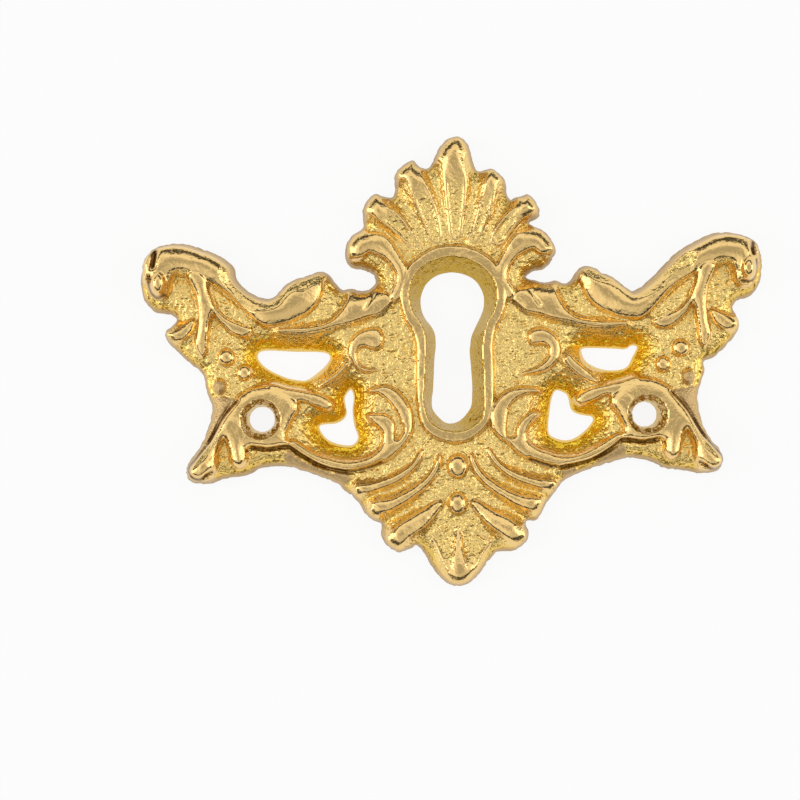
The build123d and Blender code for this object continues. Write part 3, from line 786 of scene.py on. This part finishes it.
def sculptCasting():
    size = (high - low) / 2
    centre = (high + low) / 2
    place = Matrix.Translation((centre[0], centre[1], 0)) @ Matrix.Diagonal((size[0], size[1], 1, 1))
    bm = bmesh.new()
    bmesh.ops.create_grid(bm, x_segments=int(counts[0]), y_segments=int(counts[1]), size=1, matrix=place)
    finish = {"sandy": sandy, "hollow": hollow, "asCast": asCast, "paintedShade": paintedShade}
    layers = {bm.verts.layers.float.new(name): values for name, values in finish.items()}
    for vert in bm.verts:
        column = round((vert.co.x - low[0]) / (high[0] - low[0]) * counts[0])
        line = round((vert.co.y - low[1]) / (high[1] - low[1]) * counts[1])
        vert.co.z = surface[line, column]
        for layer, values in layers.items():
            vert[layer] = values[line, column]
    bmesh.ops.delete(bm, geom=[v for v in bm.verts if v.co.z < casting["cutBelow"]], context="VERTS")
    bmesh.ops.triangulate(bm, faces=bm.faces[:])
    everything = bm.verts[:] + bm.edges[:] + bm.faces[:]
    bmesh.ops.bisect_plane(
        bm, geom=everything, plane_co=(0, 0, 0), plane_no=(0, 0, 1), clear_inner=True, dist=casting["weld"],
    )
    openEdges = [edge for edge in bm.edges if edge.is_boundary]
    bmesh.ops.triangle_fill(bm, edges=openEdges, use_beauty=True, normal=(0, 0, -1))
    for face in bm.faces:
        onBack = all(abs(vert.co.z) < casting["flat"] for vert in face.verts)
        face.smooth = not onBack
        face.material_index = 1 if onBack else 0
    for edge in openEdges:
        edge.smooth = False
    bmesh.ops.recalc_face_normals(bm, faces=bm.faces[:])
    bmesh.ops.scale(bm, vec=(mm, mm, mm), verts=bm.verts[:])
    mesh = bpy.data.meshes.new("castPlate")
    bm.to_mesh(mesh)
    bm.free()
    print("triangles", sum(len(face.vertices) - 2 for face in mesh.polygons))
    piece = bpy.data.objects.new("castPlate", mesh)
    scene.collection.objects.link(piece)
    return piece


castPlate = sculptCasting()

print("materials")


def linear(hexColour):  # sRGB hex to linear red, green and blue
    parts = [int(hexColour[i:i + 2], 16) / 255 for i in (1, 3, 5)]
    return [p / 12.92 if p <= 0.04045 else ((p + 0.055) / 1.055) ** 2.4 for p in parts] + [1]


def addNode(tree, kind, links=None, **settings):  # one node, with its settings, socket values and links
    node = tree.nodes.new(kind)
    for name, value in settings.items():
        setattr(node, name, value)
    spots = {socket.identifier: spot for spot, socket in enumerate(node.inputs)}
    for name, value in (links or {}).items():
        socket = node.inputs[spots.get(name, name)]
        if isinstance(value, bpy.types.NodeSocket):
            tree.links.new(value, socket)
        else:
            socket.default_value = value
    return node


def newMaterial(name):
    material = bpy.data.materials.new(name)
    material.use_nodes = True
    material.node_tree.nodes.clear()
    return material, material.node_tree


brassLook = {
    "colour": "#F2CD86",  # brass polished by hand
    "polishedRoughness": 0.19,
    "sandyColour": "#F6D482",  # the ground keeps the grain of the sand mould
    "sandyRoughness": 0.27,
    "hollowColour": "#F0C438",  # light bounces about in the hollows and turns deep yellow
    "wallColour": "#D2B27C",  # walls left as cast, dull and even
    "wallRoughness": 0.5,
    "paintedShadeColour": "#5A3A18",  # painted shade, dark brown, in the creases and recesses
    "grainSize": 0.27,  # mm
    "grainHeight": 0.125,  # mm
    "satin": 0.26,  # share of the grain that shows on polished brass
    "backColour": "#D9A64C",  # bare brass, ground flat on a belt
    "backRoughness": 0.36,
    "beltColour": "#B98233",  # belt marks, a shade darker than the ground face
    "beltLine": 0.12,  # mm between the belt marks, coarse enough to show
    "beltLength": 30.0,  # mm along them
    "beltDepth": 0.01,  # mm
    "beltWear": (0.4, 0.7),  # values of the noise between which a mark turns dark
}


def castBrass():  # sand-cast brass, polished by hand: satin gleams on the bands, glittering grain between
    material, tree = newMaterial("castBrass")
    place = addNode(tree, "ShaderNodeTexCoord").outputs["Object"]
    coats = {  # the mesh's layers, and the colour that each brings, one over the other
        "sandy": "sandyColour",
        "hollow": "hollowColour",
        "asCast": "wallColour",
        # painted shade: dark brown in the creases, the keyhole, the pin-hole countersinks and the foot of
        # the outer wall
        "paintedShade": "paintedShadeColour",
    }
    finish = {
        name: addNode(tree, "ShaderNodeAttribute", attribute_name=name).outputs["Fac"] for name in coats
    }
    scale = 1 / (brassLook["grainSize"] * mm)
    grain = addNode(
        tree, "ShaderNodeTexNoise", {"Vector": place, "Scale": scale, "Detail": 1.0, "Roughness": 0.5},
    )
    share = addNode(
        tree, "ShaderNodeMapRange", {"Value": finish["sandy"], "To Min": brassLook["satin"], "To Max": 1.0},
    )
    rise = addNode(
        tree, "ShaderNodeMath", {0: grain.outputs["Fac"], 1: share.outputs[0]}, operation="MULTIPLY",
    )
    bump = addNode(
        tree, "ShaderNodeBump",
        {"Height": rise.outputs[0], "Strength": 1.0, "Distance": brassLook["grainHeight"] * mm},
    )
    tint = linear(brassLook["colour"])
    for name, colour in coats.items():
        mix = addNode(
            tree, "ShaderNodeMix",
            {"Factor_Float": finish[name], "A_Color": tint, "B_Color": linear(brassLook[colour])},
            data_type="RGBA",
        )
        tint = mix.outputs[2]
    rough = addNode(
        tree, "ShaderNodeMapRange",
        {
            "Value": finish["sandy"],
            "To Min": brassLook["polishedRoughness"], "To Max": brassLook["sandyRoughness"],
        },
    )
    rough = addNode(
        tree, "ShaderNodeMapRange",
        {"Value": finish["asCast"], "To Min": rough.outputs[0], "To Max": brassLook["wallRoughness"]},
    )
    shader = addNode(
        tree, "ShaderNodeBsdfPrincipled",
        {"Base Color": tint, "Metallic": 1.0, "Roughness": rough.outputs[0], "Normal": bump.outputs[0]},
    )
    addNode(tree, "ShaderNodeOutputMaterial", {"Surface": shader.outputs[0]})
    return material


def groundBack():  # brass ground flat on a belt: long straight lines and a softer gloss
    material, tree = newMaterial("beltGroundBrass")
    place = addNode(tree, "ShaderNodeTexCoord").outputs["Object"]
    fine = 1 / (brassLook["beltLine"] * mm)
    long = 1 / (brassLook["beltLength"] * mm)
    stretched = addNode(tree, "ShaderNodeMapping", {"Vector": place, "Scale": (long, fine, fine)})
    marks = addNode(
        tree, "ShaderNodeTexNoise", {"Vector": stretched.outputs[0], "Scale": 1.0, "Detail": 3.0},
    )
    bump = addNode(
        tree, "ShaderNodeBump",
        {"Height": marks.outputs["Fac"], "Strength": 0.7, "Distance": brassLook["beltDepth"] * mm},
    )
    faint, dark = brassLook["beltWear"]
    worn = addNode(
        tree, "ShaderNodeMapRange", {"Value": marks.outputs["Fac"], "From Min": faint, "From Max": dark},
    )
    tint = addNode(
        tree, "ShaderNodeMix",
        {
            "Factor_Float": worn.outputs[0],
            "A_Color": linear(brassLook["backColour"]), "B_Color": linear(brassLook["beltColour"]),
        },
        data_type="RGBA",
    )
    shader = addNode(
        tree, "ShaderNodeBsdfPrincipled",
        {
            "Base Color": tint.outputs[2], "Metallic": 1.0,
            "Roughness": brassLook["backRoughness"], "Normal": bump.outputs[0],
        },
    )
    addNode(tree, "ShaderNodeOutputMaterial", {"Surface": shader.outputs[0]})
    return material


castPlate.data.materials.append(castBrass())
castPlate.data.materials.append(groundBack())
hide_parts("escutcheon")
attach(castPlate, "root")

print("stage")
studio = {
    "paper": "#FFFFFF",
    "floorSize": 2.0,  # m from the middle to a side
    "floorRise": 0.03,  # mm, lets the flat back show from below
    "shadowShare": 0.12,  # how much of the floor's own shading shows
    "sky": [  # sine of the height above the floor, and brightness: paper, dark room, soft light, camera
        (0.0, 1.0), (0.14, 1.0), (0.22, 0.05), (0.54, 0.05), (0.63, 0.9), (0.75, 1.1), (0.9, 1.0),
        (0.955, 0.72), (0.985, 0.52), (1.0, 0.44),
    ],
    "cards": [  # turn round the plate and rise above the floor in degrees, width and height in m, brightness
        (180, 17, 0.6, 0.26, 2.0),
        (0, 17, 0.6, 0.26, 1.6),
    ],
    "cardDistance": 0.5,  # m
    "shade": (0.29, -0.57, 0.77),  # direction in which the soft light is dimmer
    "shadeEdge": (0.8, 0.95),  # cosines from that direction between which it dims
    "shadeDim": 0.7,
}


def paperFloor():
    bm = bmesh.new()
    raised = Matrix.Translation((0, 0, studio["floorRise"] * mm))
    bmesh.ops.create_grid(bm, x_segments=1, y_segments=1, size=studio["floorSize"], matrix=raised)
    mesh = bpy.data.meshes.new("paperFloor")
    bm.to_mesh(mesh)
    bm.free()
    floor = bpy.data.objects.new("paperFloor", mesh)
    scene.collection.objects.link(floor)
    material, tree = newMaterial("whitePaper")  # matt white paper, seen as plain white with a soft shadow
    path = addNode(tree, "ShaderNodeLightPath")
    seen = path.outputs["Is Camera Ray"]
    for mirrored in ("Is Glossy Ray", "Is Transmission Ray"):
        either = addNode(tree, "ShaderNodeMath", {0: seen, 1: path.outputs[mirrored]}, operation="MAXIMUM")
        seen = either.outputs[0]
    share = addNode(tree, "ShaderNodeMath", {0: seen, 1: 1 - studio["shadowShare"]}, operation="MULTIPLY")
    paper = addNode(tree, "ShaderNodeBsdfDiffuse", {"Color": linear(studio["paper"])})
    glow = addNode(tree, "ShaderNodeEmission", {"Color": linear(studio["paper"]), "Strength": 1.0})
    mix = addNode(
        tree, "ShaderNodeMixShader", {0: share.outputs[0], 1: paper.outputs[0], 2: glow.outputs[0]},
    )
    addNode(tree, "ShaderNodeOutputMaterial", {"Surface": mix.outputs[0]})
    mesh.materials.append(material)


def studioWorld():
    world = bpy.data.worlds.new("studio")
    scene.world = world
    world.use_nodes = True
    tree = world.node_tree
    tree.nodes.clear()
    direction = addNode(tree, "ShaderNodeTexCoord").outputs["Generated"]
    height = addNode(tree, "ShaderNodeSeparateXYZ", {0: direction}).outputs["Z"]
    ramp = addNode(tree, "ShaderNodeValToRGB", {"Fac": height})
    stops = ramp.color_ramp.elements
    for spot, (place, brightness) in enumerate(studio["sky"]):
        stop = stops[spot] if spot < 2 else stops.new(place)
        stop.position = place
        stop.color = (brightness, brightness, brightness, 1)
    aside = addNode(
        tree, "ShaderNodeVectorMath", {0: direction, 1: studio["shade"]}, operation="DOT_PRODUCT",
    )
    start, end = studio["shadeEdge"]
    dim = addNode(
        tree, "ShaderNodeMapRange",
        {
            "Value": aside.outputs["Value"], "From Min": start, "From Max": end,
            "To Min": 1.0, "To Max": studio["shadeDim"],
        },
    )
    sky = addNode(
        tree, "ShaderNodeBackground", {"Color": ramp.outputs["Color"], "Strength": dim.outputs[0]},
    )
    addNode(tree, "ShaderNodeOutputWorld", {"Surface": sky.outputs[0]})


def addCard(turn, rise, width, height, brightness):  # a lit card that faces the plate
    light = bpy.data.lights.new("card", "AREA")
    light.shape = "RECTANGLE"
    light.size = width
    light.size_y = height
    light.energy = brightness * math.pi * width * height
    card = bpy.data.objects.new("card", light)
    turn = math.radians(turn)
    rise = math.radians(rise)
    out = studio["cardDistance"] * math.cos(rise)
    card.location = (out * math.cos(turn), out * math.sin(turn), studio["cardDistance"] * math.sin(rise))
    card.rotation_euler = (0, math.pi / 2 - rise, turn)
    scene.collection.objects.link(card)


paperFloor()
studioWorld()
for card in studio["cards"]:
    addCard(*card)
scene.view_settings.view_transform = "Standard"
